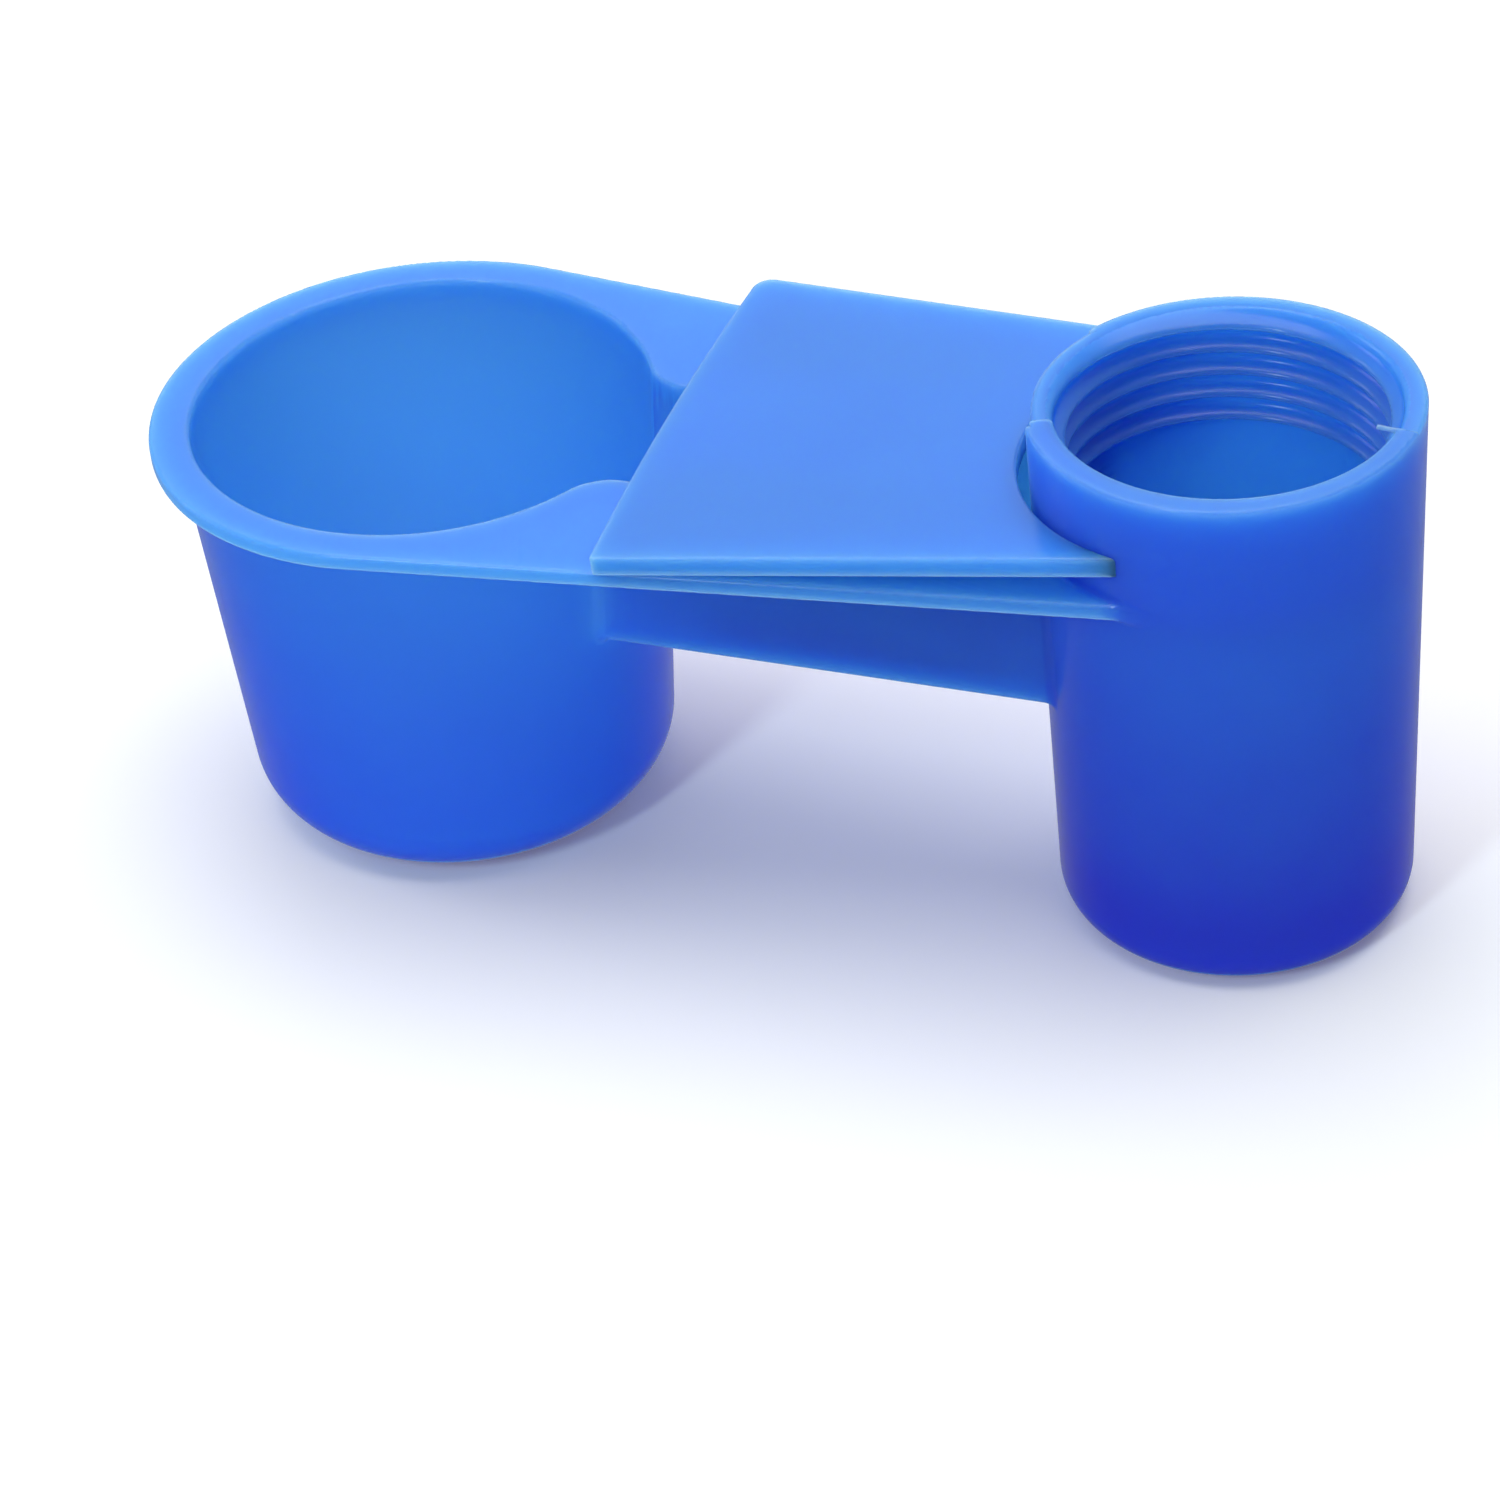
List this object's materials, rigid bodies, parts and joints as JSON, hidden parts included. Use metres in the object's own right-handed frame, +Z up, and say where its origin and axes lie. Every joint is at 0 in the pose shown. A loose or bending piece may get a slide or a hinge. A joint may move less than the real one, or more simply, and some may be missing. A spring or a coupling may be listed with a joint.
{
  "type": "bottle-fed drinker cup",
  "caption": "Small drinking cup joined by a covered feed channel to a threaded socket that takes an upturned drinks bottle.",
  "frame": {"origin": "on the ground under the middle of the whole object's bounding box", "axes": "+X from the drinking cup towards the bottle socket, +Z up along both round axes, +Y across"},
  "size_m": [0.1148, 0.0486, 0.0509],
  "materials": {
    "body_plastic": "gloss, slightly translucent",
    "cover_plastic": "satin gloss, slightly translucent"
  },
  "bodies": {
    "moulded_body": {"drinking_cup": "body_plastic", "deck_flange": "body_plastic", "feed_channel": "body_plastic", "bottle_socket": "body_plastic", "socket_thread": "body_plastic"},
    "cover": {"channel_cover": "cover_plastic"}
  },
  "joints": [
    {"name": "cover_lift", "type": "slide", "parent": "moulded_body", "child": "cover", "axis": [0, 0, 1], "range_m": [0, 0.03]}
  ]
}
